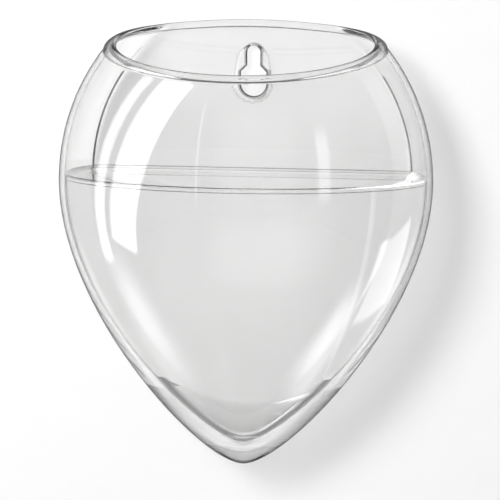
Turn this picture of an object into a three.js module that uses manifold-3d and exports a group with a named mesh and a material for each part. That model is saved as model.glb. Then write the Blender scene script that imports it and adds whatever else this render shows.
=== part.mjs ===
// Wall-hung hydroponic vase: one piece of clear blown glass with its fill of water.
// Millimetres. The origin is the point where the wall screw sits in the keyhole, on the wall plane.
// The wall plane is y = 0, the vase stands out from it toward -Y, +Z is up.
import * as THREE from 'three';
import { mergeVertices } from 'three/addons/utils/BufferGeometryUtils.js';
import Module from 'manifold-3d';

// The blown bubble. Heights are above the outer tip, depths are out from the wall plane.
const HANG_HEIGHT = 164;
const BELLY_HEIGHT = 114.3;
const BELLY_HALF_WIDTH = 75;
const BELLY_HALF_DEPTH = 55;
const AXIS_DEPTH = 27;
const DOME_RISE = 81.5;
const TIP_ROUNDING = 17.5;
const FLANK_FULLNESS = 52;

// The back, pressed flat on a board while the glass is soft.
const FOLD_RADIUS = 2.5;

// The glass thickness: walls, solid tip and the round bead of the lip.
const WALL = 2.2;
const BASE = 8.5;
const LIP_BEAD = 3.4;

// The mouth, cut on a slope that is higher at the wall.
const MOUTH_HEIGHT = 167.1;
const MOUTH_SLOPE_RISE = 8.4;

// The keyhole in the back and the thicker glass left around it.
const SLOT_WIDTH = 5.5;
const HOLE_WIDTH = 10.5;
const HOLE_DROP = 12.7;
const SHOULDER_DROP = 5.4;
const EDGE_ROUND = 0.9;
const PAD_TOP_RADIUS = 7.2;
const PAD_TOP_DROP = 3.3;
const PAD_LOW_RADIUS = 8.8;
const PAD_LOW_DROP = 11.9;
const PAD_RISE = 1.5;
const PAD_SOFTENING = 1.1;

// The water, with the rim of it drawn up the glass.
const WATER_HEIGHT = 116.2;
const MENISCUS_RISE = 1.3;
const MENISCUS_REACH = 2.2;
const MENISCUS_STEPS = [0.5, 1.2, 2.4, 4.4, 8];
const FIT_GAP = 0.3;

// How finely the curves are divided.
const FLAT_COLUMNS = 14;
const FOLD_COLUMNS = 4;
const FRONT_COLUMNS = 36;
const FOLD_PASSES = 4;
const FLANK_ROWS = 20;
const SHOULDER_ROWS = 10;
const BEAD_STEPS = 10;
const ARC_STEPS = 9;
const EDGE_STEPS = 4;
const POOL_ROWS = 2;

// Near the tip the section is too slim for folds, and their columns stay at these angles, in degrees.
const FOLD_BEGIN_ANGLE = 48;
const FOLD_END_ANGLE = 62;

const GLASS_COLOUR = 0xe9f0f0;
const WATER_COLOUR = 0xdcebf0;

// Depth after pressing: flat on the board, with a soft fold into the free glass.
function pressed(depth, board) {
  const free = depth - board;
  if (free >= FOLD_RADIUS) {
    return depth;
  }
  if (free <= -FOLD_RADIUS) {
    return board;
  }
  return board + (free + FOLD_RADIUS) ** 2 / (4 * FOLD_RADIUS);
}

// Half-width and height on the pulled-down flank, from the tip (0) to the belly (1).
function flank(share, inset, floor) {
  const half = BELLY_HALF_WIDTH - inset;
  const curve = new THREE.CubicBezierCurve(
    new THREE.Vector2(0, floor),
    new THREE.Vector2((TIP_ROUNDING * half) / BELLY_HALF_WIDTH, floor),
    new THREE.Vector2(half, BELLY_HEIGHT - FLANK_FULLNESS),
    new THREE.Vector2(half, BELLY_HEIGHT),
  );
  const point = curve.getPoint(share);
  return { half: point.x, height: point.y };
}

// Half-width on the dome above the belly, which is a quarter ellipse.
function dome(height, inset) {
  const climb = (height - BELLY_HEIGHT) / (DOME_RISE - inset);
  return (BELLY_HALF_WIDTH - inset) * Math.sqrt(Math.max(0, 1 - climb * climb));
}

// Depth of a section for each unit of its width, on the skin that lies `inset` inside the outer face.
function stretch(inset) {
  return (BELLY_HALF_DEPTH - inset) / (BELLY_HALF_WIDTH - inset);
}

// Evenly spread angles from the first up to just before the last.
function spread(first, last, count) {
  return Array.from({ length: count }, (_, k) => first + ((last - first) * k) / count);
}

// Where the flat board meets the skin that lies `inset` inside the outer face: never behind the wall plane.
function boardDepth(inset) {
  return Math.max(0, inset);
}

// The angles of a ring's columns: round the right fold, over the back, round the left fold and the front.
// Angle 0 is the right-hand side and a quarter turn is the middle of the back.
function columns(halfAt, inset) {
  const foldEdge = (shift, most) => {
    let angle = 0;
    for (let pass = 0; pass < FOLD_PASSES; pass += 1) {
      const sine = (AXIS_DEPTH - boardDepth(inset) + shift) / (halfAt(angle) * stretch(inset));
      angle = Math.min(THREE.MathUtils.degToRad(most), Math.asin(THREE.MathUtils.clamp(sine, 0, 1)));
    }
    return angle;
  };
  const begin = foldEdge(-FOLD_RADIUS, FOLD_BEGIN_ANGLE);
  const end = foldEdge(FOLD_RADIUS, FOLD_END_ANGLE);
  return [
    ...spread(begin, end, FOLD_COLUMNS),
    ...spread(end, Math.PI - end, FLAT_COLUMNS),
    ...spread(Math.PI - end, Math.PI - begin, FOLD_COLUMNS),
    ...spread(Math.PI - begin, 2 * Math.PI + begin, FRONT_COLUMNS),
  ];
}

// A ring of the skin that lies `inset` inside the outer face, from its half-width and height at each angle.
function skinRing(halfAt, heightAt, inset) {
  return columns(halfAt, inset).map((angle) => {
    const half = halfAt(angle);
    const depth = AXIS_DEPTH - half * stretch(inset) * Math.sin(angle);
    return new THREE.Vector3(
      half * Math.cos(angle),
      -pressed(depth, boardDepth(inset)),
      heightAt(angle) - HANG_HEIGHT,
    );
  });
}

// A level ring round the flank.
function flankRing(share, inset, floor) {
  const { half, height } = flank(share, inset, floor);
  return skinRing(() => half, () => height, inset);
}

// A ring round the dome whose height follows the given rule of the angle.
function domeRing(heightAt, inset) {
  return skinRing((angle) => dome(heightAt(angle), inset), heightAt, inset);
}

// The point on the axis that closes a skin at the given height.
function axisPoint(height) {
  return new THREE.Vector3(0, -AXIS_DEPTH, height - HANG_HEIGHT);
}

// Height of the middle of the lip's bead, round the sloping mouth.
function mouthHeight(angle) {
  return MOUTH_HEIGHT + MOUTH_SLOPE_RISE * Math.sin(angle);
}

// Equal shares from just above 0 up to 1.
function shares(count) {
  return Array.from({ length: count }, (_, i) => (i + 1) / count);
}

// Closed body from a start pole, rings that run round the same columns, and an end pole.
function closedSkin(start, rings, end) {
  const points = [start, ...rings.flat(), end];
  const count = rings[0].length;
  const last = points.length - 1;
  const index = [];
  const at = (row, column) => 1 + row * count + (column % count);
  for (let column = 0; column < count; column += 1) {
    index.push(0, at(0, column + 1), at(0, column));
    for (let row = 0; row + 1 < rings.length; row += 1) {
      const low = at(row, column);
      const lowNext = at(row, column + 1);
      const high = at(row + 1, column);
      const highNext = at(row + 1, column + 1);
      index.push(low, lowNext, highNext);
      index.push(low, highNext, high);
    }
    index.push(last, at(rings.length - 1, column), at(rings.length - 1, column + 1));
  }
  const geometry = new THREE.BufferGeometry().setFromPoints(points);
  geometry.setIndex(index);
  return geometry;
}

// The shell of the vase: up the outside, over the bead of the lip and down the inside.
function shellGeometry() {
  const radius = LIP_BEAD / 2;
  const root = Math.acos(Math.min(1, WALL / LIP_BEAD));
  const neck = (angle) => mouthHeight(angle) - radius * Math.sin(root);
  const climb = (share) => (angle) => BELLY_HEIGHT + (neck(angle) - BELLY_HEIGHT) * share;
  const outside = [
    ...shares(FLANK_ROWS).map((share) => flankRing(share, 0, 0)),
    ...shares(SHOULDER_ROWS).map((share) => domeRing(climb(share), 0)),
  ];
  const inside = [
    ...shares(FLANK_ROWS).map((share) => flankRing(share, WALL, BASE)),
    ...shares(SHOULDER_ROWS).map((share) => domeRing(climb(share), WALL)),
  ];
  const bead = shares(BEAD_STEPS).slice(0, -1).map((share) => {
    const turn = share * (Math.PI + 2 * root) - root;
    const over = (angle) => mouthHeight(angle) + radius * Math.sin(turn);
    return domeRing(over, WALL / 2 - radius * Math.cos(turn));
  });
  const rings = [...outside, ...bead, ...inside.reverse()];
  return closedSkin(axisPoint(0), rings, axisPoint(BASE));
}

// The keyhole in front view, grown outward all round by `grow`.
function keyholeOutline(grow) {
  const slot = SLOT_WIDTH / 2 + grow;
  const hole = HOLE_WIDTH / 2 + grow;
  const mitre = (Math.SQRT2 - 1) * grow;
  const neck = mitre - SHOULDER_DROP;
  const shoulder = neck - (HOLE_WIDTH - SLOT_WIDTH) / 2;
  const shape = new THREE.Shape();
  shape.moveTo(slot, neck);
  shape.lineTo(slot, 0);
  shape.absarc(0, 0, slot, 0, Math.PI, false);
  shape.lineTo(-slot, neck);
  shape.lineTo(-hole, shoulder);
  shape.lineTo(-hole, -HOLE_DROP);
  shape.absarc(0, -HOLE_DROP, hole, Math.PI, 2 * Math.PI, false);
  shape.lineTo(hole, shoulder);
  return shape.getPoints(ARC_STEPS);
}

// What the keyhole takes out of the back: straight in the middle, flared to round both its edges.
function keyholeCutter() {
  const front = WALL + PAD_RISE;
  const flares = Array.from({ length: EDGE_STEPS + 1 }, (_, i) => {
    const turn = (i / EDGE_STEPS) * (Math.PI / 2);
    return { into: EDGE_ROUND * Math.sin(turn), grow: EDGE_ROUND * (1 - Math.cos(turn)) };
  });
  const backEdge = flares.map(({ into, grow }) => ({ depth: EDGE_ROUND - into, grow }));
  const frontEdge = flares.map(({ into, grow }) => ({ depth: front - EDGE_ROUND + into, grow }));
  const stations = [
    { depth: -EDGE_ROUND, grow: EDGE_ROUND },
    ...backEdge.reverse(),
    ...frontEdge,
    { depth: front + EDGE_ROUND, grow: EDGE_ROUND },
  ];
  const rings = stations.map(({ depth, grow }) => {
    return keyholeOutline(grow).map((p) => new THREE.Vector3(p.x, -depth, p.y));
  });
  const middle = -(HOLE_DROP + SHOULDER_DROP) / 2;
  const [back, fore] = [-EDGE_ROUND, front + EDGE_ROUND].map((depth) => {
    return new THREE.Vector3(0, -depth, middle);
  });
  return closedSkin(back, rings, fore);
}

// The pear-shaped pad of thicker glass round the keyhole, rooted in the back wall.
function padGeometry() {
  const lean = Math.asin((PAD_LOW_RADIUS - PAD_TOP_RADIUS) / (PAD_LOW_DROP - PAD_TOP_DROP));
  const shape = new THREE.Shape();
  shape.absarc(0, -PAD_TOP_DROP, PAD_TOP_RADIUS - PAD_SOFTENING, lean, Math.PI - lean, false);
  const lowStart = Math.PI - lean;
  const lowEnd = 2 * Math.PI + lean;
  shape.absarc(0, -PAD_LOW_DROP, PAD_LOW_RADIUS - PAD_SOFTENING, lowStart, lowEnd, false);
  shape.closePath();
  const root = WALL / 2;
  const pad = new THREE.ExtrudeGeometry(shape, {
    depth: root + PAD_RISE - 2 * PAD_SOFTENING,
    bevelThickness: PAD_SOFTENING,
    bevelSize: PAD_SOFTENING,
    bevelSegments: EDGE_STEPS,
    curveSegments: 2 * ARC_STEPS,
  });
  pad.rotateX(Math.PI / 2);
  pad.translate(0, root - WALL - PAD_SOFTENING, 0);
  return pad;
}

// The water: the inside of the vase up to the level, less the fit gap, with a drawn-up edge.
function waterGeometry() {
  const inset = WALL + FIT_GAP;
  const floor = BASE + FIT_GAP;
  const contact = WATER_HEIGHT + MENISCUS_RISE;
  const climb = (share) => () => BELLY_HEIGHT + (contact - BELLY_HEIGHT) * share;
  const side = [
    ...shares(FLANK_ROWS).map((share) => flankRing(share, inset, floor)),
    ...shares(POOL_ROWS).map((share) => domeRing(climb(share), inset)),
  ];
  const surface = MENISCUS_STEPS.map((step) => {
    const lift = MENISCUS_RISE * Math.exp(-step / MENISCUS_REACH);
    return domeRing(() => WATER_HEIGHT + lift, inset + step);
  });
  return closedSkin(axisPoint(floor), [...side, ...surface], axisPoint(WATER_HEIGHT));
}

const wasm = await Module();
wasm.setup();

// The solid bounded by a closed geometry.
function solidOf(geometry) {
  const bare = geometry.clone();
  bare.deleteAttribute('normal');
  bare.deleteAttribute('uv');
  const welded = mergeVertices(bare);
  const mesh = new wasm.Mesh({
    numProp: 3,
    vertProperties: new Float32Array(welded.attributes.position.array),
    triVerts: new Uint32Array(welded.index.array),
  });
  return new wasm.Manifold(mesh);
}

// The geometry of a solid's surface.
function geometryOf(solid) {
  const mesh = solid.getMesh();
  const geometry = new THREE.BufferGeometry();
  geometry.setAttribute('position', new THREE.BufferAttribute(mesh.vertProperties, 3));
  geometry.setIndex(new THREE.BufferAttribute(mesh.triVerts, 1));
  geometry.computeVertexNormals();
  return geometry;
}

// A named piece with a clear material of its own.
function clearPiece(name, geometry, colour, opacity) {
  const material = new THREE.MeshStandardMaterial({
    color: colour,
    roughness: 0.05,
    metalness: 0,
    transparent: true,
    opacity,
  });
  const piece = new THREE.Mesh(geometry, material);
  piece.name = name;
  return piece;
}

const glass = solidOf(shellGeometry()).add(solidOf(padGeometry())).subtract(solidOf(keyholeCutter()));
const water = solidOf(waterGeometry());

const group = new THREE.Group();
group.name = 'wall_hydroponic_vase';
group.add(clearPiece('glass_vessel', geometryOf(glass), GLASS_COLOUR, 0.35));
group.add(clearPiece('water', geometryOf(water), WATER_COLOUR, 0.4));

export default group;
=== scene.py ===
"""Looks of a wall-hung hydroponic vase: one piece of clear blown glass, part filled with water."""

import logging
import math
from collections.abc import Callable, Mapping, Sequence
from dataclasses import dataclass, replace
from enum import Enum

import bpy
import numpy as np
from mathutils import Matrix, Vector


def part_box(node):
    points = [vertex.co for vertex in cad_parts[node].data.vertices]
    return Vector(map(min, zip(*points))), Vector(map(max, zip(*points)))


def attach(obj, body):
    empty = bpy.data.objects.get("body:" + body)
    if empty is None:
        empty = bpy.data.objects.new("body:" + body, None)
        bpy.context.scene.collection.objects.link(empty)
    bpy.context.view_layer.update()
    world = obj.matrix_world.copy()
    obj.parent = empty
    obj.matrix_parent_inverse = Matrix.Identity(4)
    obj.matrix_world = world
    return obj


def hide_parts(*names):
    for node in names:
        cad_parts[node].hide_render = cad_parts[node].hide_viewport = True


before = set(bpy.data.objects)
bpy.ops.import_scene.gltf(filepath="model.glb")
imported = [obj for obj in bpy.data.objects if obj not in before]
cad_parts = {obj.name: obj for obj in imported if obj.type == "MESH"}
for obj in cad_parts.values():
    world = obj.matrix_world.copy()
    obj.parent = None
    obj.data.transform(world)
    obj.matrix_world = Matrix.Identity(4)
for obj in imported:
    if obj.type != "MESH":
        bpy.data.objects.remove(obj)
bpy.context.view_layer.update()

log = logging.getLogger("wall_vase")

Rule = Callable[[np.ndarray], np.ndarray]
Colour = tuple[float, float, float, float]

BODY = "root"
LIGHT_STEPS = 40
WHOLE = (0.0, 1.0)
CLOUD_DETAIL = 3.0
RIPPLE_DETAIL = 1.0
SHOULDER_MITRE = math.sqrt(2) - 1


class Piece(Enum):
    """The pieces of the vase, named as their CAD nodes."""

    GLASS = "glass_vessel"
    WATER = "water"


class Slot(Enum):
    """The record's material slots."""

    CLEAR_GLASS = "clear_glass"
    WATER = "water"


class Reach(Enum):
    """What a light is for."""

    WALLS = "lights the room and never shows in the glass"
    GLASS = "shows in the glass and never lights the room"


class GlassFace(Enum):
    """Finish numbers of the glass's faces, each finish with painted shade of its own."""

    WALL = 0
    LIP = 1
    CUT = 2
    FOLD = 3
    PAD_EDGE = 4
    BASE = 5
    TIP = 6
    POINT = 7


class WaterFace(Enum):
    """Finish numbers of the water's faces, most finishes with painted shade of their own."""

    SIDE = 0
    TOP = 1
    EDGE = 2
    RISE = 3
    FOOT = 4


def shares(count: int) -> np.ndarray:
    """Equal shares from just above 0 up to 1."""
    return np.arange(1, count + 1) / count


def smooth(share: np.ndarray) -> np.ndarray:
    """Soft step from 0 to 1 over shares 0 to 1."""
    kept = np.clip(share, 0.0, 1.0)
    return kept * kept * (3.0 - 2.0 * kept)


def level(height: float) -> Rule:
    """Rule that gives the same height all round."""
    return lambda angles: np.full_like(angles, height)


def grey(tone: float) -> Colour:
    """Colour with the same share of red, green and blue."""
    return (tone, tone, tone, 1.0)


def toward(bearing: float, elevation: float) -> Vector:
    """Direction from the vase to where a light or the camera stands.

    Args:
        bearing: Degrees to the right of straight out from the wall.
        elevation: Degrees above level.

    Returns:
        The direction, one unit long.
    """
    aside = math.radians(bearing)
    climb = math.radians(elevation)
    along = math.cos(climb)
    return Vector((math.sin(aside) * along, -math.cos(aside) * along, math.sin(climb)))


def turned_back(away: Vector, roll: float) -> Matrix:
    """Turn of what stands in a direction and looks back at the vase, rolled by some degrees."""
    return away.to_track_quat("Z", "Y").to_matrix() @ Matrix.Rotation(math.radians(roll), 3, "Z")


def closed_mesh(
    name: str,
    start: np.ndarray,
    rings: Sequence[np.ndarray],
    end: np.ndarray,
    finish: np.ndarray,
) -> bpy.types.Mesh:
    """Closed mesh from a start pole, rings that run round the same columns, and an end pole.

    Args:
        name: Name of the mesh.
        start: Point that closes the first ring.
        rings: Rings of points, each the same length.
        end: Point that closes the last ring.
        finish: Finish number of each face between the rings, one row for each pair of rings.

    Returns:
        The mesh, smooth shaded, with its faces turned outward.
    """
    count = len(rings[0])
    points = np.vstack([start, *rings, end])
    last = len(points) - 1
    here = np.arange(count)
    after = (here + 1) % count
    faces: list[tuple[int, ...]] = []
    for row in range(len(rings) - 1):
        low = 1 + row * count
        high = low + count
        faces += zip(low + here, low + after, high + after, high + here)
    top = 1 + (len(rings) - 1) * count
    faces += ((0, 1 + b, 1 + a) for a, b in zip(here, after))
    faces += ((last, top + a, top + b) for a, b in zip(here, after))
    mesh = bpy.data.meshes.new(name)
    mesh.from_pydata(points.tolist(), [], [tuple(int(i) for i in face) for face in faces])
    numbers = np.concatenate([finish.ravel(), finish[0], finish[-1]])
    mesh.polygons.foreach_set("material_index", numbers)
    mesh.shade_smooth()
    return mesh


def placed(name: str, data: bpy.types.ID) -> bpy.types.Object:
    """Object linked into the scene.

    Args:
        name: Name of the object.
        data: Its mesh, light or camera.

    Returns:
        The object.
    """
    item = bpy.data.objects.new(name, data)
    bpy.context.scene.collection.objects.link(item)
    return item


def worked(
    tree: bpy.types.NodeTree,
    operation: str,
    first: bpy.types.NodeSocket,
    second: bpy.types.NodeSocket | float | None = None,
) -> bpy.types.NodeSocket:
    """Result of a sum of one or two values in a node tree.

    Args:
        tree: The nodes that the sum joins.
        operation: The kind of sum.
        first: First value.
        second: Second value, linked or fixed, if the sum has one.

    Returns:
        The result.
    """
    node = tree.nodes.new("ShaderNodeMath")
    node.operation = operation
    tree.links.new(first, node.inputs[0])
    if isinstance(second, float):
        node.inputs[1].default_value = second
    elif second is not None:
        tree.links.new(second, node.inputs[1])
    return node.outputs[0]


def ranged(
    tree: bpy.types.NodeTree,
    value: bpy.types.NodeSocket,
    before: tuple[float, float],
    after: tuple[float, float],
    soft: bool = False,
) -> bpy.types.NodeSocket:
    """A value moved from one range to another in a node tree.

    Args:
        tree: The nodes that the range joins.
        value: The value.
        before: Ends of the range that it comes from.
        after: Ends of the range that it goes to.
        soft: Whether both ends are eased.

    Returns:
        The moved value.
    """
    node = tree.nodes.new("ShaderNodeMapRange")
    node.interpolation_type = "SMOOTHSTEP" if soft else "LINEAR"
    node.inputs["From Min"].default_value, node.inputs["From Max"].default_value = before
    node.inputs["To Min"].default_value, node.inputs["To Max"].default_value = after
    tree.links.new(value, node.inputs["Value"])
    return node.outputs["Result"]


def noise(
    tree: bpy.types.NodeTree,
    place: bpy.types.NodeSocket,
    scale: float,
    detail: float,
) -> bpy.types.NodeSocket:
    """Cloudy values from 0 to 1 over the places of a surface.

    Args:
        tree: The nodes that the noise joins.
        place: Place on the surface.
        scale: How closely the clouds lie.
        detail: How finely they break up.

    Returns:
        The value at each place.
    """
    node = tree.nodes.new("ShaderNodeTexNoise")
    node.inputs["Scale"].default_value = scale
    node.inputs["Detail"].default_value = detail
    tree.links.new(place, node.inputs["Vector"])
    return node.outputs["Fac"]


@dataclass(frozen=True)
class ClearFinishAndShade:
    """A clear finish that light passes through, with faint unevenness of the surface and painted
    shade.
    """

    name: str
    ior: float
    # Tints: the clear piece's own tone, and painted shade in the finishes for dark and grey lines.
    tint_and_shade_thin: Colour
    tint_and_shade_deep: Colour
    cloud_scale: float
    cloud_stretch: float
    gloss_low: float
    gloss_high: float
    ripple_scale: float
    ripple_strength: float
    ripple_height: float
    # Painted shade: between these two facings the tint darkens to this share of itself.
    slant_from: float
    slant_to: float
    painted_slant_shade: float

    def material(self) -> bpy.types.Material:
        """Makes the material.

        Returns:
            The material.
        """
        material = bpy.data.materials.new(self.name)
        material.use_nodes = True
        tree = material.node_tree
        link = tree.links.new
        shader = tree.nodes["Principled BSDF"]
        shader.inputs["Transmission Weight"].default_value = 1.0
        shader.inputs["IOR"].default_value = self.ior
        place = tree.nodes.new("ShaderNodeTexCoord").outputs["Object"]
        drawn = tree.nodes.new("ShaderNodeMapping")
        drawn.inputs["Scale"].default_value = (1.0, 1.0, self.cloud_stretch)
        link(place, drawn.inputs["Vector"])
        cloud = noise(tree, drawn.outputs["Vector"], self.cloud_scale, CLOUD_DETAIL)
        link(self.colour(tree, cloud), shader.inputs["Base Color"])
        gloss = ranged(tree, cloud, WHOLE, (self.gloss_low, self.gloss_high))
        link(gloss, shader.inputs["Roughness"])
        bump = tree.nodes.new("ShaderNodeBump")
        bump.inputs["Strength"].default_value = self.ripple_strength
        bump.inputs["Distance"].default_value = self.ripple_height
        link(noise(tree, place, self.ripple_scale, RIPPLE_DETAIL), bump.inputs["Height"])
        link(bump.outputs["Normal"], shader.inputs["Normal"])
        return material

    def colour(
        self, tree: bpy.types.NodeTree, cloud: bpy.types.NodeSocket
    ) -> bpy.types.NodeSocket:
        """Tint with painted shade: darker where the surface is seen on the slant, drawing dark
        outlines.

        Args:
            tree: The finish's nodes.
            cloud: The faint clouds that vary the tint.

        Returns:
            The colour.
        """
        tint = tree.nodes.new("ShaderNodeValToRGB")
        tint.color_ramp.elements[0].color = self.tint_and_shade_deep
        tint.color_ramp.elements[1].color = self.tint_and_shade_thin
        tree.links.new(cloud, tint.inputs["Fac"])
        # Painted shade drawn as dark outlines, where the surface is seen on the slant.
        facing = tree.nodes.new("ShaderNodeLayerWeight").outputs["Facing"]
        slant = (self.slant_from, self.slant_to)
        tone = ranged(tree, facing, slant, (1.0, self.painted_slant_shade), soft=True)
        both = tree.nodes.new("ShaderNodeVectorMath")
        both.operation = "SCALE"
        tree.links.new(tint.outputs["Color"], both.inputs[0])
        tree.links.new(tone, both.inputs["Scale"])
        return both.outputs["Vector"]


# Clear blown glass, with painted shade as dark lines along its outlines.
BLOWN_GLASS = ClearFinishAndShade(
    name="clear_blown_glass",
    ior=1.5,
    tint_and_shade_thin=grey(1.0),
    tint_and_shade_deep=(0.935, 0.935, 0.934, 1.0),
    cloud_scale=48.0,
    cloud_stretch=0.16,
    gloss_low=0.0,
    gloss_high=0.012,
    ripple_scale=34.0,
    ripple_strength=0.02,
    ripple_height=0.001,
    slant_from=0.76,
    slant_to=0.91,
    painted_slant_shade=0.03,
)
# Painted shade: dark lines round the lip's bead, where it is seen on the slant.
LIP_PAINTED_SHADE = replace(
    BLOWN_GLASS, name="lip_painted_shade", slant_from=0.4, slant_to=0.82, painted_slant_shade=0.005
)
# Painted shade: a soft grey crescent over the solid base.
BASE_PAINTED_SHADE = replace(
    BLOWN_GLASS, name="base_painted_shade", slant_from=0.14, slant_to=0.36, painted_slant_shade=0.8
)
# Painted shade: the tip darker toward its outlines, the point over a wider slant.
TIP_PAINTED_SHADE = replace(
    BLOWN_GLASS, name="tip_painted_shade", slant_from=0.36, slant_to=0.88, painted_slant_shade=0.02
)
POINT_PAINTED_SHADE = replace(TIP_PAINTED_SHADE, name="point_painted_shade", slant_from=0.22, slant_to=0.82)
# Painted shade: grey lines round the pad's edge and along the upper fold lines.
PAD_EDGE_PAINTED_SHADE = replace(
    BLOWN_GLASS, name="pad_edge_painted_shade", tint_and_shade_thin=grey(0.75), tint_and_shade_deep=grey(0.6)
)
# Painted shade: dark lines along both folds and the roots of the lip's bead.
FOLD_PAINTED_SHADE = replace(
    BLOWN_GLASS, name="fold_painted_shade", tint_and_shade_thin=grey(0.2), tint_and_shade_deep=grey(0.08)
)
# Rough cut glass with painted shade: the keyhole's cut walls drawn dark.
CUT_GLASS_PAINTED_SHADE = replace(
    BLOWN_GLASS,
    name="cut_glass_painted_shade",
    tint_and_shade_thin=grey(0.6),
    tint_and_shade_deep=grey(0.08),
    cloud_scale=500.0,
    cloud_stretch=1.0,
    gloss_low=0.02,
    gloss_high=0.15,
    slant_from=0.02,
    slant_to=0.35,
    painted_slant_shade=0.002,
)
# Clear water, with painted shade as dark lines along its outlines.
STILL_WATER = ClearFinishAndShade(
    name="still_water",
    ior=1.333,
    tint_and_shade_thin=grey(1.0),
    tint_and_shade_deep=(0.996, 0.997, 0.997, 1.0),
    cloud_scale=18.0,
    cloud_stretch=1.0,
    gloss_low=0.0,
    gloss_high=0.01,
    ripple_scale=26.0,
    ripple_strength=0.02,
    ripple_height=0.001,
    slant_from=0.74,
    slant_to=0.84,
    painted_slant_shade=0.001,
)
# Painted shade: dark outlines over a wider slant at the water's foot.
WATER_FOOT_PAINTED_SHADE = replace(STILL_WATER, name="water_foot_painted_shade", slant_from=0.56, slant_to=0.68)
WATER_TOP = replace(STILL_WATER, name="water_top", painted_slant_shade=1.0)
# Painted shade: grey on the rise of the water's edge up the glass.
WATER_RISE_PAINTED_SHADE = replace(
    WATER_TOP, name="water_rise_painted_shade", tint_and_shade_thin=grey(0.92), tint_and_shade_deep=grey(0.7)
)
# Painted shade: dark lines along the water line and the water's floor.
WATER_EDGE_PAINTED_SHADE = replace(
    WATER_TOP, name="water_edge_painted_shade", tint_and_shade_thin=grey(0.22), tint_and_shade_deep=grey(0.08)
)
GLASS_FINISHES_AND_SHADE = {
    GlassFace.WALL: BLOWN_GLASS,
    GlassFace.LIP: LIP_PAINTED_SHADE,
    GlassFace.CUT: CUT_GLASS_PAINTED_SHADE,
    GlassFace.FOLD: FOLD_PAINTED_SHADE,
    GlassFace.PAD_EDGE: PAD_EDGE_PAINTED_SHADE,
    GlassFace.BASE: BASE_PAINTED_SHADE,
    GlassFace.TIP: TIP_PAINTED_SHADE,
    GlassFace.POINT: POINT_PAINTED_SHADE,
}
WATER_FINISHES_AND_SHADE = {
    WaterFace.SIDE: STILL_WATER,
    WaterFace.TOP: WATER_TOP,
    WaterFace.EDGE: WATER_EDGE_PAINTED_SHADE,
    WaterFace.RISE: WATER_RISE_PAINTED_SHADE,
    WaterFace.FOOT: WATER_FOOT_PAINTED_SHADE,
}


def dress(
    piece: bpy.types.Object,
    finishes: Mapping[Enum, ClearFinishAndShade],
    node: Piece,
) -> None:
    """Gives a piece its finishes and body, and lets it stand for its CAD node.

    Args:
        piece: The piece.
        finishes: Its finish for each kind of face.
        node: The CAD node that it stands for.
    """
    for face in sorted(finishes, key=lambda kind: kind.value):
        piece.data.materials.append(finishes[face].material())
    piece.visible_shadow = False
    piece.visible_diffuse = False
    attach(piece, BODY)
    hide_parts(node.value)
    log.info("%s: %d points", piece.name, len(piece.data.vertices))


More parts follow.
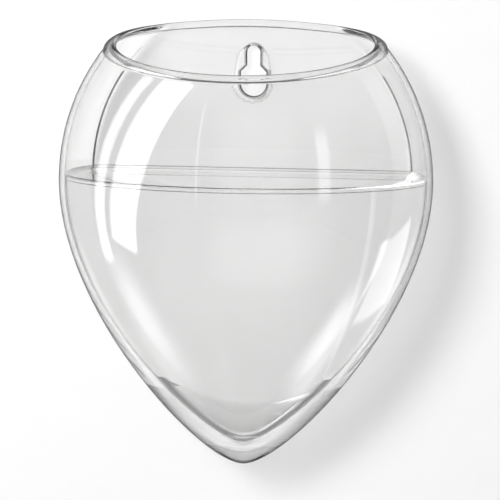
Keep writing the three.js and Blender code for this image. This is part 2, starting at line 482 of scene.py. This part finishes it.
@dataclass
class BlownForm:
    """The blown bubble with its back pressed flat: one rule for every skin of glass and of water.

    Angle 0 is the right-hand side and a quarter turn is the middle of the back.
    """

    hang_height: float
    belly_half_width: float
    belly_half_depth: float
    axis_depth: float = 0.027
    belly_height: float = 0.1143
    dome_rise: float = 0.0815
    tip_rounding: float = 0.0175
    flank_fullness: float = 0.052
    fold_radius: float = 0.0025
    mouth_height: float = 0.1671
    mouth_slope_rise: float = 0.0084
    mouth_end_rise: float = 0.0026
    mouth_end_reach: float = 0.92
    flat_columns: int = 84
    flat_crowding: float = 0.35
    fold_columns: int = 14
    # Columns that carry the painted dark fold lines.
    fold_line_from: int = 1
    fold_line_columns: int = 3
    fold_start_most: float = 0.9
    fold_end_most: float = 0.975
    fold_passes: int = 3
    front_columns: int = 130

    @classmethod
    def of_node(cls, node: Piece) -> "BlownForm":
        """Form whose outer sizes are those of a CAD node.

        Args:
            node: The glass's node.

        Returns:
            The form.
        """
        low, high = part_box(node.value)
        return cls(
            hang_height=-float(low[2]),
            belly_half_width=float(high[0]),
            belly_half_depth=-float(low[1]) - cls.axis_depth,
        )

    def pressed(self, depth: np.ndarray, board: float) -> np.ndarray:
        """Depth after pressing: flat on the board, with a soft fold into the free glass.

        Args:
            depth: Depth before pressing, out from the wall plane, at each column.
            board: Depth of the board that the back is pressed on.

        Returns:
            Depth at each column.
        """
        free = depth - board
        fold = board + (free + self.fold_radius) ** 2 / (4 * self.fold_radius)
        flat = np.where(free <= -self.fold_radius, board, fold)
        return np.where(free >= self.fold_radius, depth, flat)

    def columns(self, half: Rule, stretch: float, inset: float) -> np.ndarray:
        """Angles of a ring's columns: the right fold, the flat back, the left fold, the front.

        Args:
            half: Half-width before pressing at each angle.
            stretch: Depth of the section for each unit of width.
            inset: How far inside the outer face the ring lies.

        Returns:
            The angles, rising by less than a full turn.
        """
        board = self.axis_depth - max(0.0, inset)
        begin = finish = math.asin(self.axis_depth / self.belly_half_depth)
        for _ in range(self.fold_passes):
            begin, finish = (
                math.asin(min(most, (board + reach) / (stretch * float(half(np.array([at]))[0]))))
                for at, reach, most in (
                    (begin, -self.fold_radius, self.fold_start_most),
                    (finish, self.fold_radius, self.fold_end_most),
                )
            )
        even = np.linspace(-1.0, 1.0, self.flat_columns + 1)[:-1]
        crowded = self.flat_crowding * even + (1 - self.flat_crowding) * even**3
        bend = (finish - begin) * np.arange(self.fold_columns) / self.fold_columns
        free = (math.pi + 2 * begin) * np.arange(self.front_columns) / self.front_columns
        flat = math.pi / 2 + (math.pi / 2 - finish) * crowded
        return np.concatenate(
            [begin + bend, flat, math.pi - finish + bend, math.pi - begin + free]
        )

    def fold_lines(self) -> np.ndarray:
        """Numbers of the columns along the sharpest line of both folds."""
        right = self.fold_line_from + np.arange(self.fold_line_columns)
        return np.concatenate([right, 2 * self.fold_columns + self.flat_columns - 1 - right])

    def fold_middles(self) -> np.ndarray:
        """Numbers of the middle column of both fold lines."""
        return self.fold_lines()[self.fold_line_columns // 2 :: self.fold_line_columns]

    def ring(self, half: Rule, height: Rule, inset: float) -> np.ndarray:
        """One ring of the skin that lies `inset` inside the outer face.

        Args:
            half: Half-width before pressing at each angle.
            height: Height above the tip at each angle.
            inset: How far inside the outer face the ring lies.

        Returns:
            Points, one for each column.
        """
        stretch = (self.belly_half_depth - inset) / (self.belly_half_width - inset)
        angles = self.columns(half, stretch, inset)
        depth = self.axis_depth - half(angles) * stretch * np.sin(angles)
        wide = half(angles) * np.cos(angles)
        back = -self.pressed(depth, max(0.0, inset))
        return np.stack([wide, back, height(angles) - self.hang_height], axis=-1)

    def flank_ring(self, share: float, inset: float, floor: float) -> np.ndarray:
        """Level ring round the pulled-down flank.

        Args:
            share: Share of the way from the tip (0) to the belly (1).
            inset: How far inside the outer face the ring lies.
            floor: Height above the tip where the skin closes.

        Returns:
            Points, one for each column.
        """
        half = self.belly_half_width - inset
        rest = 1.0 - share
        pull = self.tip_rounding * half / self.belly_half_width
        wide = 3 * rest * rest * share * pull + (3 * rest + share) * share * share * half
        low = (rest + 3 * share) * rest * rest * floor
        high = 3 * rest * share * share * (self.belly_height - self.flank_fullness)
        return self.ring(level(wide), level(low + high + share**3 * self.belly_height), inset)

    def dome_half(self, height: np.ndarray, inset: float) -> np.ndarray:
        """Half-width of the dome above the belly, a quarter ellipse."""
        climb = (height - self.belly_height) / (self.dome_rise - inset)
        return (self.belly_half_width - inset) * np.sqrt(np.clip(1.0 - climb * climb, 0.0, None))

    def dome_ring(self, height: Rule, inset: float) -> np.ndarray:
        """Ring round the dome whose height follows a rule of the angle."""
        return self.ring(lambda angles: self.dome_half(height(angles), inset), height, inset)

    def axis_point(self, height: float) -> np.ndarray:
        """Point on the axis that closes a skin at a height."""
        return np.array([0.0, -self.axis_depth, height - self.hang_height])

    def mouth(self, angles: np.ndarray) -> np.ndarray:
        """Middle of the lip's bead, round the sloping mouth with its raised ends.

        Args:
            angles: Angles round the mouth.

        Returns:
            Height above the tip at each angle.
        """
        lean = np.sin(angles)
        behind = np.clip(1.0 - (lean / self.mouth_end_reach) ** 2, 0.0, None) ** 2
        ends = np.where(lean > 0.0, behind, 1.0 - lean * lean)
        return self.mouth_height + self.mouth_slope_rise * lean + self.mouth_end_rise * ends


@dataclass
class Keyhole:
    """The keyhole in the back: a slot for the screw's shank, a hole for its head, and a pad."""

    wall: float
    slot_width: float = 0.0055
    hole_width: float = 0.0105
    hole_drop: float = 0.0127
    shoulder_drop: float = 0.0054
    edge_round: float = 0.0009
    pad_top_radius: float = 0.0072
    pad_top_drop: float = 0.0033
    pad_low_radius: float = 0.0088
    pad_low_drop: float = 0.0119
    pad_rise: float = 0.0015
    pad_softening: float = 0.0016
    arc_steps: int = 40
    side_steps: int = 14
    edge_steps: int = 8

    def pad(self, points: np.ndarray) -> np.ndarray:
        """How far the pad stands out of the inner face at each point.

        Args:
            points: Points of the inner back face.

        Returns:
            One height for each point.
        """
        across = np.abs(points[:, 0])
        span = self.pad_low_drop - self.pad_top_drop
        lean = (self.pad_low_radius - self.pad_top_radius) / span
        steep = math.sqrt(1.0 - lean * lean)
        down = -self.pad_top_drop - points[:, 2]
        along = down * steep + across * lean
        beside = across * steep - down * lean - self.pad_top_radius
        top = np.hypot(across, down) - self.pad_top_radius
        low = np.hypot(across, down - span) - self.pad_low_radius
        inside = np.where(along < 0, top, np.where(along > span * steep, low, beside))
        return self.pad_rise * smooth(-inside / self.pad_softening)

    def outline(self, grow: float, depth: float) -> np.ndarray:
        """Ring round the keyhole at a depth, grown outward all round.

        Args:
            grow: How far the outline is grown.
            depth: Distance of the ring out from the wall plane.

        Returns:
            Points of the ring, in order.
        """
        slot = self.slot_width / 2 + grow
        hole = self.hole_width / 2 + grow
        neck = SHOULDER_MITRE * grow - self.shoulder_drop
        shoulder = neck - (self.hole_width - self.slot_width) / 2
        bend = math.pi * shares(self.arc_steps)
        corners = [(slot, neck), (slot, 0.0)]
        corners += [(slot * math.cos(a), slot * math.sin(a)) for a in bend]
        corners += [(-slot, neck), (-hole, shoulder), (-hole, -self.hole_drop)]
        corners += [(-hole * math.cos(a), -self.hole_drop - hole * math.sin(a)) for a in bend]
        corners += [(hole, shoulder), (slot, neck)]
        longest_bend = 2 * hole * math.pi / self.arc_steps
        ring: list[tuple[float, float]] = []
        for (x0, z0), (x1, z1) in zip(corners[:-1], corners[1:]):
            straight = math.hypot(x1 - x0, z1 - z0) > longest_bend
            steps = self.side_steps if straight else 1
            ring += [
                (x0 + (x1 - x0) * i / steps, z0 + (z1 - z0) * i / steps) for i in range(steps)
            ]
        return np.array([(x, -depth, z) for x, z in ring])

    def cutter(self) -> bpy.types.Mesh:
        """What the keyhole takes out of the glass: straight inside, flared to round both edges.

        Returns:
            The closed mesh of it.
        """
        front = self.wall + self.pad_rise
        turns = np.linspace(0.0, math.pi / 2, self.edge_steps + 1)
        into = self.edge_round * np.sin(turns)
        grown = self.edge_round * (1 - np.cos(turns))
        stations = [(-self.edge_round, self.edge_round)]
        stations += [(self.edge_round - i, g) for i, g in zip(into[::-1], grown[::-1])]
        stations += [(front - self.edge_round + i, g) for i, g in zip(into, grown)]
        stations.append((front + self.edge_round, self.edge_round))
        rings = [self.outline(grow, depth) for depth, grow in stations]
        middle = -(self.hole_drop + self.shoulder_drop) / 2
        back = np.array([0.0, self.edge_round, middle])
        fore = np.array([0.0, -front - self.edge_round, middle])
        finish = np.full((len(rings) - 1, len(rings[0])), GlassFace.CUT.value)
        return closed_mesh("keyhole_cutter", back, rings, fore, finish)


@dataclass
class GlassVessel:
    """The vase itself: walls, solid tip, round bead of the lip, and the keyhole with its pad."""

    form: BlownForm
    water_line: float
    wall: float = 0.0022
    base: float = 0.0085
    lip_bead: float = 0.0034
    flank_rows: int = 84
    wet_rows: int = 4
    shoulder_rows: int = 84
    bead_steps: int = 28
    # The shares and rows below place the painted shade: darker tip, point and base, fold lines,
    # lip roots and the pad's grey edge.
    heavy_share: float = 0.45
    point_share: float = 0.21
    fold_share: float = 0.7
    fold_fade_share: float = 0.88
    root_rows: int = 2
    pad_edge_low: float = 0.1
    pad_edge_high: float = 0.7

    def build(self) -> bpy.types.Object:
        """Builds the glass.

        Returns:
            The piece, undressed.
        """
        keyhole = Keyhole(wall=self.wall)
        piece = placed(Piece.GLASS.value + "_clear", self.shell(keyhole))
        self.cut(piece, keyhole.cutter())
        return piece

    def dress(self, piece: bpy.types.Object) -> None:
        """Dresses the glass."""
        dress(piece, GLASS_FINISHES_AND_SHADE, Piece.GLASS)

    def shell(self, keyhole: Keyhole) -> bpy.types.Mesh:
        """Shell of the vase: up the outside, over the bead and down the inside, with the pad.

        Args:
            keyhole: The keyhole, whose pad is raised on the inside.

        Returns:
            The closed mesh of it, not yet cut.
        """
        form = self.form
        radius = self.lip_bead / 2
        root = math.acos(self.wall / self.lip_bead)
        neck = self.along_mouth(-radius * math.sin(root))
        wet_climb = self.water_line - form.belly_height
        wet = [level(form.belly_height + wet_climb * s) for s in shares(self.wet_rows)]
        climbs = [self.between(neck, s) for s in shares(self.shoulder_rows)]
        outside = [form.flank_ring(s, 0.0, 0.0) for s in shares(self.flank_rows)]
        outside += [form.dome_ring(height, 0.0) for height in (*wet, *climbs)]
        inside = [form.flank_ring(s, self.wall, self.base) for s in shares(self.flank_rows)]
        inside += [form.dome_ring(height, self.wall) for height in wet]
        inside += [self.padded(form.dome_ring(height, self.wall), keyhole) for height in climbs]
        bead = []
        for turn in (math.pi + 2 * root) * shares(self.bead_steps)[:-1] - root:
            height = self.along_mouth(radius * math.sin(turn))
            bead.append(form.dome_ring(height, self.wall / 2 - radius * math.cos(turn)))
        rings = [*outside, *bead, *reversed(inside)]
        lip = range(len(outside) - 1, len(outside) + len(bead))
        finish = self.finish_numbers(rings, lip, keyhole)
        start = form.axis_point(0.0)
        end = form.axis_point(self.base)
        return closed_mesh("glass_shell", start, rings, end, finish)

    def finish_numbers(
        self, rings: Sequence[np.ndarray], lip: range, keyhole: Keyhole
    ) -> np.ndarray:
        """Finish number of each face of the shell.

        Args:
            rings: Rings of the shell, up the outside and down the inside.
            lip: Numbers of the rows of faces round the lip's bead.
            keyhole: The keyhole, whose pad has an edge.

        Returns:
            One row of numbers for each pair of rings.
        """
        finish = np.full((len(rings) - 1, len(rings[0])), GlassFace.WALL.value)
        # Painted shade: the fold lines, lip roots, tip, point, base and the pad's edge get darker
        # finishes.
        heavy = round(self.flank_rows * self.heavy_share)
        for share, lines, face in (
            (self.fold_fade_share, self.form.fold_middles(), GlassFace.PAD_EDGE),
            (self.fold_share, self.form.fold_lines(), GlassFace.FOLD),
        ):
            top = self.flank_rows + self.wet_rows + round(self.shoulder_rows * share)
            finish[heavy:top, lines] = face.value
            finish[-top:-heavy, lines] = face.value
        finish[:heavy] = GlassFace.TIP.value
        finish[: round(self.flank_rows * self.point_share)] = GlassFace.POINT.value
        finish[-heavy:] = GlassFace.BASE.value
        finish[lip] = GlassFace.LIP.value
        finish[[*lip[: self.root_rows], *lip[-self.root_rows :]]] = GlassFace.FOLD.value
        for row in range(lip.stop, lip.stop + self.shoulder_rows):
            finish[row, self.on_pad_edge(rings[row], keyhole)] = GlassFace.PAD_EDGE.value
        return finish

    def on_back(self, ring: np.ndarray) -> np.ndarray:
        """Which columns of a ring lie behind the bubble's axis."""
        return ring[:, 1] > -self.form.axis_depth

    def on_pad_edge(self, ring: np.ndarray, keyhole: Keyhole) -> np.ndarray:
        """Which columns of a ring of the inner face lie on the slope round the pad."""
        share = keyhole.pad(ring) / keyhole.pad_rise
        return self.on_back(ring) & (share > self.pad_edge_low) & (share < self.pad_edge_high)

    def along_mouth(self, lift: float) -> Rule:
        """Rule for a ring that runs along the mouth, lifted above the middle of the bead."""
        return lambda angles: self.form.mouth(angles) + lift

    def between(self, top: Rule, share: float) -> Rule:
        """Rule for a ring at a share of the way from the water line up to the neck."""
        return lambda angles: self.water_line + (top(angles) - self.water_line) * share

    def padded(self, ring: np.ndarray, keyhole: Keyhole) -> np.ndarray:
        """Puts the pad's rise on the part of a ring that lies on the back.

        Args:
            ring: A ring of the inner face.
            keyhole: The keyhole that has the pad.

        Returns:
            The ring.
        """
        back = self.on_back(ring)
        ring[back, 1] -= keyhole.pad(ring[back])
        return ring

    def cut(self, piece: bpy.types.Object, cutter: bpy.types.Mesh) -> None:
        """Cuts the keyhole out of the glass and leaves a plain mesh.

        Args:
            piece: The glass.
            cutter: Mesh of what is taken out.
        """
        tool = placed("keyhole_tool", cutter)
        cut = piece.modifiers.new("keyhole", "BOOLEAN")
        cut.operation = "DIFFERENCE"
        cut.solver = "EXACT"
        cut.object = tool
        graph = bpy.context.evaluated_depsgraph_get()
        done = bpy.data.meshes.new_from_object(piece.evaluated_get(graph))
        piece.modifiers.clear()
        piece.data = done
        done.name = Piece.GLASS.value
        bpy.data.objects.remove(tool)


@dataclass
class WaterFill:
    """The water, with its edge drawn up the glass all round."""

    form: BlownForm
    fill_height: float = 0.1152
    edge_rise: float = 0.002
    edge_reach: float = 0.0024
    fit_gap: float = 0.0003
    flank_rows: int = 96
    pool_rows: int = 8
    edge_rows: int = 26
    edge_crowding: int = 3
    # These rows place the water's finishes; the foot, the floor line and the edge's rise carry
    # painted shade.
    foot_rows: int = 44
    floor_rows: int = 18
    floor_line: int = 14
    surface_run: float = 0.012
    steep_rows: int = 13
    crease: float = 50.0

    @property
    def contact_height(self) -> float:
        """Height above the tip where the water's edge meets the glass."""
        return self.fill_height + self.edge_rise

    def build(self, glass_wall: float, glass_base: float) -> bpy.types.Object:
        """Builds the water, a fit gap away from the glass.

        Args:
            glass_wall: Thickness of the glass that holds it.
            glass_base: Thickness of the solid tip below it.

        Returns:
            The piece, undressed.
        """
        form = self.form
        inset = glass_wall + self.fit_gap
        floor = glass_base + self.fit_gap
        climb = self.contact_height - form.belly_height
        pool = [level(form.belly_height + climb * s) for s in shares(self.pool_rows)]
        side = [form.flank_ring(s, inset, floor) for s in shares(self.flank_rows)]
        side += [form.dome_ring(height, inset) for height in pool]
        surface = []
        for share in shares(self.edge_rows):
            step = self.surface_run * share**self.edge_crowding
            lift = self.edge_rise * math.exp(-step / self.edge_reach)
            surface.append(form.dome_ring(level(self.fill_height + lift), inset + step))
        rings = [*side, *surface]
        finish = self.finish_numbers(rings, len(side))
        start = form.axis_point(floor)
        end = form.axis_point(self.fill_height)
        mesh = closed_mesh(Piece.WATER.value, start, rings, end, finish)
        mesh.set_sharp_from_angle(angle=math.radians(self.crease))
        return placed(Piece.WATER.value + "_fill", mesh)

    def dress(self, piece: bpy.types.Object) -> None:
        """Dresses the water."""
        dress(piece, WATER_FINISHES_AND_SHADE, Piece.WATER)

    def finish_numbers(self, rings: Sequence[np.ndarray], side_rings: int) -> np.ndarray:
        """Finish number of each face of the water.

        Args:
            rings: Rings of the water, up its side and in over its surface.
            side_rings: How many of them lie on its side.

        Returns:
            One row of numbers for each pair of rings.
        """
        climb = self.contact_height - self.form.belly_height
        level_row = round(self.pool_rows * (self.fill_height - self.form.belly_height) / climb)
        finish = np.full((len(rings) - 1, len(rings[0])), WaterFace.SIDE.value)
        # Painted shade: the foot, the floor line, the rise of the edge and the water line get
        # darker finishes.
        finish[: self.foot_rows] = WaterFace.FOOT.value
        finish[: self.floor_rows] = WaterFace.TOP.value
        finish[self.floor_line] = WaterFace.EDGE.value
        finish[side_rings - 1 :] = WaterFace.RISE.value
        finish[side_rings + self.steep_rows :] = WaterFace.TOP.value
        finish[[self.flank_rows - 1 + level_row, side_rings - 2]] = WaterFace.EDGE.value
        return finish


@dataclass(frozen=True)
class PaintedWall:
    """Matt paint of the room, which isn't part of the vase."""

    name: str
    light: Colour
    dark: Colour
    grain_scale: float
    clear_behind: bool
    roughness: float = 0.95

    def material(self) -> bpy.types.Material:
        """Makes the paint, see-through from behind where the back of the vase has to show.

        Returns:
            The material.
        """
        material = bpy.data.materials.new(self.name)
        material.use_nodes = True
        nodes = material.node_tree.nodes
        link = material.node_tree.links.new
        shader = nodes["Principled BSDF"]
        shader.inputs["Roughness"].default_value = self.roughness
        shader.inputs["Specular IOR Level"].default_value = 0.0
        grain = nodes.new("ShaderNodeTexNoise")
        grain.inputs["Scale"].default_value = self.grain_scale
        paint = nodes.new("ShaderNodeValToRGB")
        paint.color_ramp.elements[0].color = self.dark
        paint.color_ramp.elements[1].color = self.light
        link(grain.outputs["Fac"], paint.inputs["Fac"])
        link(paint.outputs["Color"], shader.inputs["Base Color"])
        if self.clear_behind:
            side = nodes.new("ShaderNodeNewGeometry")
            gone = nodes.new("ShaderNodeBsdfTransparent")
            pick = nodes.new("ShaderNodeMixShader")
            link(side.outputs["Backfacing"], pick.inputs["Fac"])
            link(shader.outputs["BSDF"], pick.inputs[1])
            link(gone.outputs["BSDF"], pick.inputs[2])
            link(pick.outputs["Shader"], nodes["Material Output"].inputs["Surface"])
        return material


WALL_PAINT = PaintedWall(
    name="wall_paint",
    light=grey(0.9),
    dark=grey(0.885),
    grain_scale=180.0,
    clear_behind=True,
)
FLOOR_PAINT = PaintedWall(
    name="floor_paint",
    light=(0.8, 0.8, 0.79, 1.0),
    dark=(0.77, 0.77, 0.76, 1.0),
    grain_scale=90.0,
    clear_behind=False,
)


@dataclass(frozen=True)
class ClearShade:
    """How the vase dims the light that falls through it: most where it crosses on the slant."""

    name: str = "clear_shade"
    straight: float = 0.948
    slant: float = 0.69

    def cast(self, piece: bpy.types.Object) -> None:
        """Lets a copy of the glass cast the shadow in place of the clear pieces.

        Args:
            piece: The glass.
        """
        material = bpy.data.materials.new(self.name)
        material.use_nodes = True
        tree = material.node_tree
        tree.nodes.remove(tree.nodes["Principled BSDF"])
        clear = tree.nodes.new("ShaderNodeBsdfTransparent")
        facing = tree.nodes.new("ShaderNodeLayerWeight").outputs["Facing"]
        dim = ranged(tree, facing, WHOLE, (self.straight, self.slant))
        tree.links.new(dim, clear.inputs["Color"])
        tree.links.new(clear.outputs["BSDF"], tree.nodes["Material Output"].inputs["Surface"])
        shade = placed(self.name, piece.data.copy())
        shade.data.materials.clear()
        shade.data.materials.append(material)
        shade.visible_camera = False
        shade.visible_glossy = False
        shade.visible_transmission = False
        shade.visible_diffuse = False


@dataclass
class Room:
    """The wall that the vase hangs on and the pale floor below it."""

    wall_gap: float = 0.0006
    half_width: float = 1.6
    height: float = 1.3
    floor_drop: float = 0.9
    floor_reach: float = 3.0

    def build(self) -> None:
        """Builds the wall and the floor as stage."""
        left, right = -self.half_width, self.half_width
        low, high = -self.floor_drop, self.height
        front, back = -self.floor_reach, self.wall_gap
        wall = [(left, back, low), (right, back, low), (right, back, high), (left, back, high)]
        floor = [(left, front, low), (right, front, low), (right, back, low), (left, back, low)]
        self.sheet("room_wall", wall, WALL_PAINT)
        self.sheet("room_floor", floor, FLOOR_PAINT)

    def sheet(
        self, name: str, corners: Sequence[tuple[float, float, float]], paint: PaintedWall
    ) -> None:
        """Places one painted sheet of the room, left out of mirror reflections.

        Args:
            name: Name of the sheet.
            corners: Its four corners, in order.
            paint: Its paint.
        """
        mesh = bpy.data.meshes.new(name)
        mesh.from_pydata(corners, [], [tuple(range(len(corners)))])
        mesh.materials.append(paint.material())
        sheet = placed(name, mesh)
        sheet.visible_glossy = False


@dataclass(frozen=True)
class SoftLight:
    """A soft rectangular light, placed by the direction it is seen in from the vase.

    The bearing, elevation and roll are in degrees, and the distance, width and height in metres.
    The fade is the share of the light over which it falls off toward its edges.
    """

    name: str
    bearing: float
    elevation: float
    distance: float
    width: float
    height: float
    radiance: float
    reach: Reach
    fade: float
    roll: float = 0.0
    middle: float = 0.5
    past_edge: float = 0.5001

    def hang(self, aim: Vector) -> None:
        """Hangs the light, facing the aim.

        Args:
            aim: The point that the light faces.
        """
        data = bpy.data.lights.new(self.name, "AREA")
        data.shape = "RECTANGLE"
        data.size = self.width
        data.size_y = self.height
        data.energy = self.radiance * math.pi * self.width * self.height
        self.shade(data)
        lamp = placed(self.name, data)
        away = toward(self.bearing, self.elevation)
        turn = turned_back(away, self.roll).to_4x4()
        lamp.matrix_world = Matrix.Translation(aim + away * self.distance) @ turn
        lamp.visible_camera = False
        lamp.visible_diffuse = self.reach is Reach.WALLS
        lamp.visible_glossy = self.reach is Reach.GLASS
        lamp.visible_transmission = self.reach is Reach.GLASS

    def shade(self, data: bpy.types.Light) -> None:
        """Fades the light toward its edges.

        Args:
            data: The light's own data.
        """
        data.use_nodes = True
        tree = data.node_tree
        place = tree.nodes.new("ShaderNodeNewGeometry")
        split = tree.nodes.new("ShaderNodeSeparateXYZ")
        tree.links.new(place.outputs["Parametric"], split.inputs[0])
        across, along = (self.fall(tree, split.outputs[side]) for side in ("X", "Y"))
        strength = worked(tree, "MULTIPLY", across, along)
        tree.links.new(strength, tree.nodes["Emission"].inputs["Strength"])

    def fall(
        self, tree: bpy.types.NodeTree, place: bpy.types.NodeSocket
    ) -> bpy.types.NodeSocket:
        """Strength across the light: full in the middle and fading toward both edges.

        Args:
            tree: The light's nodes.
            place: Place across the light, from 0 to 1.

        Returns:
            The strength, from 0 to 1.
        """
        off = worked(tree, "ABSOLUTE", worked(tree, "SUBTRACT", place, self.middle))
        fading = (self.middle - self.fade / 2, self.past_edge)
        return ranged(tree, off, fading, (1.0, 0.0), soft=True)


# Each row: name, bearing, elevation, distance, width, height, radiance, reach, fade, roll
STUDIO = (
    SoftLight("key_light", -23.0, 24.0, 1.5, 0.5, 0.5, 32.4, Reach.WALLS, 0.3),
    SoftLight("room_fill", 0.0, 10.0, 2.4, 2.2, 2.0, 0.75, Reach.WALLS, 0.2),
    SoftLight("left_bank", -56.0, 8.0, 1.0, 0.34, 1.5, 4.5, Reach.GLASS, 0.06, -20.0),
    SoftLight("left_strip", -77.0, 6.0, 1.0, 0.14, 1.5, 4.5, Reach.GLASS, 0.1, -16.0),
    SoftLight("right_low_bank", 104.0, -30.0, 0.6, 0.32, 0.26, 3.6, Reach.GLASS, 0.2, 25.0),
    SoftLight("right_foot_bank", 80.0, -55.0, 0.6, 0.24, 0.46, 3.4, Reach.GLASS, 0.9),
    SoftLight("left_foot_bank", -80.0, -45.0, 0.6, 0.32, 0.62, 2.3, Reach.GLASS, 1.0),
    SoftLight("right_edge_bank", 130.0, -33.0, 0.6, 0.24, 0.44, 2.0, Reach.GLASS, 0.8),
    SoftLight("left_edge_bank", -119.0, -34.0, 0.6, 0.2, 0.44, 1.2, Reach.GLASS, 0.8),
    SoftLight("right_bank", 98.0, 15.0, 1.0, 0.35, 0.9, 0.9, Reach.GLASS, 0.3),
    SoftLight("front_panel", 5.0, 10.0, 2.4, 2.2, 2.0, 0.4, Reach.GLASS, 0.5),
    SoftLight("front_low_panel", 14.0, -28.0, 1.2, 2.0, 1.3, 0.8, Reach.GLASS, 1.0),
    SoftLight("front_sliver", -22.0, 10.0, 1.8, 0.04, 1.6, 1.6, Reach.GLASS, 0.5),
    SoftLight("right_window", 39.0, 6.0, 1.8, 0.3, 1.2, 2.0, Reach.GLASS, 0.6),
)


@dataclass(frozen=True)
class Surroundings:
    """What the glass sees beyond the lights."""

    colour: Colour = grey(1.0)
    strength: float = 0.25

    def build(self) -> None:
        """Sets the even surroundings."""
        world = bpy.data.worlds.new("surroundings")
        world.use_nodes = True
        back = world.node_tree.nodes["Background"]
        back.inputs["Color"].default_value = self.colour
        back.inputs["Strength"].default_value = self.strength
        bpy.context.scene.world = world


@dataclass(frozen=True)
class PhotoCamera:
    """The camera at the photograph's viewing angle, through a long lens."""

    bearing: float = 6.5
    elevation: float = 7.07
    roll: float = 0.53
    distance: float = 1.8
    frame_width: float = 0.2002
    aim_height: float = 0.085
    right_of_axis: float = 0.00204
    above_aim: float = 0.00155
    sensor: float = 36.0
    far_end: float = 20.0

    def place(self, form: BlownForm) -> None:
        """Places the camera.

        Args:
            form: The vase's form, whose axis the camera looks at.
        """
        away = toward(self.bearing, self.elevation)
        turn = turned_back(away, self.roll)
        aim = Vector(form.axis_point(self.aim_height))
        aim += turn.col[0] * self.right_of_axis + turn.col[1] * self.above_aim
        data = bpy.data.cameras.new("photo_camera")
        data.sensor_width = self.sensor
        data.lens = self.sensor * self.distance / self.frame_width
        data.clip_end = self.far_end
        camera = placed("photo_camera", data)
        camera.matrix_world = Matrix.Translation(aim + away * self.distance) @ turn.to_4x4()
        bpy.context.scene.camera = camera


def clear_paths(scene: bpy.types.Scene) -> None:
    """Lets light pass through every face of glass and water, and shows it without a film curve.

    Args:
        scene: The scene.
    """
    scene.view_settings.view_transform = "Standard"
    scene.cycles.max_bounces = LIGHT_STEPS
    scene.cycles.transmission_bounces = LIGHT_STEPS
    scene.cycles.glossy_bounces = LIGHT_STEPS
    scene.cycles.transparent_max_bounces = LIGHT_STEPS


def main() -> None:
    """Builds the vase, its water and the studio in order."""
    logging.basicConfig(level=logging.INFO)
    form = BlownForm.of_node(Piece.GLASS)
    fill = WaterFill(form)
    vessel = GlassVessel(form, water_line=fill.contact_height)
    glass = vessel.build()
    ClearShade().cast(glass)
    vessel.dress(glass)
    fill.dress(fill.build(vessel.wall, vessel.base))
    Room().build()
    Surroundings().build()
    aim = Vector(form.axis_point(form.belly_height))
    for light in STUDIO:
        light.hang(aim)
    PhotoCamera().place(form)
    clear_paths(bpy.context.scene)


if __name__ == "__main__":
    main()
